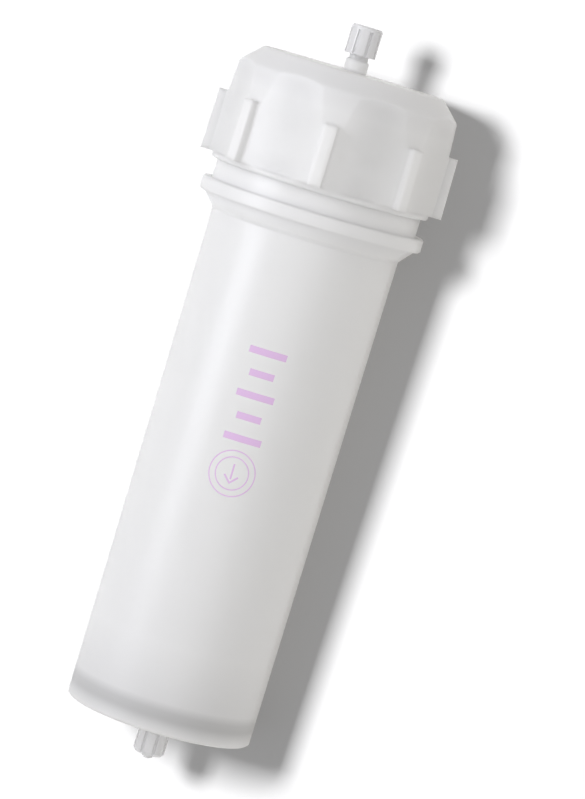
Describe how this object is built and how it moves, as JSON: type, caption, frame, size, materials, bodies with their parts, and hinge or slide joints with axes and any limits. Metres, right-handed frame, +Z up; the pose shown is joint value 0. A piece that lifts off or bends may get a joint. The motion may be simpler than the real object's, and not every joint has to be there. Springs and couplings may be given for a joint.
{
  "type": "size exclusion column",
  "caption": "Translucent plastic chromatography column lying on its side, with a packed white gel bed, a ribbed screw cap and small ribbed luer closures at both ends.",
  "frame": {"origin": "on the surface it lies on, under the middle of its box", "axes": "+X along the column towards the screw cap, with the axis rising about 2.3 degrees to the cap; +Z up"},
  "size_m": [0.262, 0.0804, 0.0807],
  "materials": {
    "natural_pp": "satin, translucent",
    "clear_pp": "glossy, translucent",
    "gel": "wet, opaque white",
    "sintered_pe": "matt, porous",
    "silicone": "matt, translucent"
  },
  "bodies": {
    "column": {"column_tube": "natural_pp", "bottom_frit": "sintered_pe", "resin_bed": "gel", "top_frit": "sintered_pe"},
    "gasket": {"cap_gasket": "silicone"},
    "cap": {"screw_cap": "natural_pp"},
    "plug": {"inlet_plug": "clear_pp"},
    "closure": {"outlet_cap": "clear_pp"}
  },
  "joints": [
    {"name": "cap_lift", "type": "slide", "parent": "column", "child": "gasket", "axis": [0.9992, 0, 0.0399], "range_m": [0, 0.0401]},
    {"name": "cap_turn", "type": "hinge", "parent": "gasket", "child": "cap", "pos_m": [0.10675, 0, 0.04137], "axis": [0.9992, 0, 0.0399], "range_deg": [0, 2880]},
    {"name": "inlet_plug_pull", "type": "slide", "parent": "cap", "child": "plug", "axis": [0.9992, 0, 0.0399], "range_m": [0, 0.04]},
    {"name": "outlet_cap_pull", "type": "slide", "parent": "column", "child": "closure", "axis": [-0.9992, 0, -0.0399], "range_m": [0, 0.04]}
  ],
  "couplings": [
    {"joint": "cap_lift", "follows": "cap_turn", "m_per_rad": 0.00079577}
  ]
}
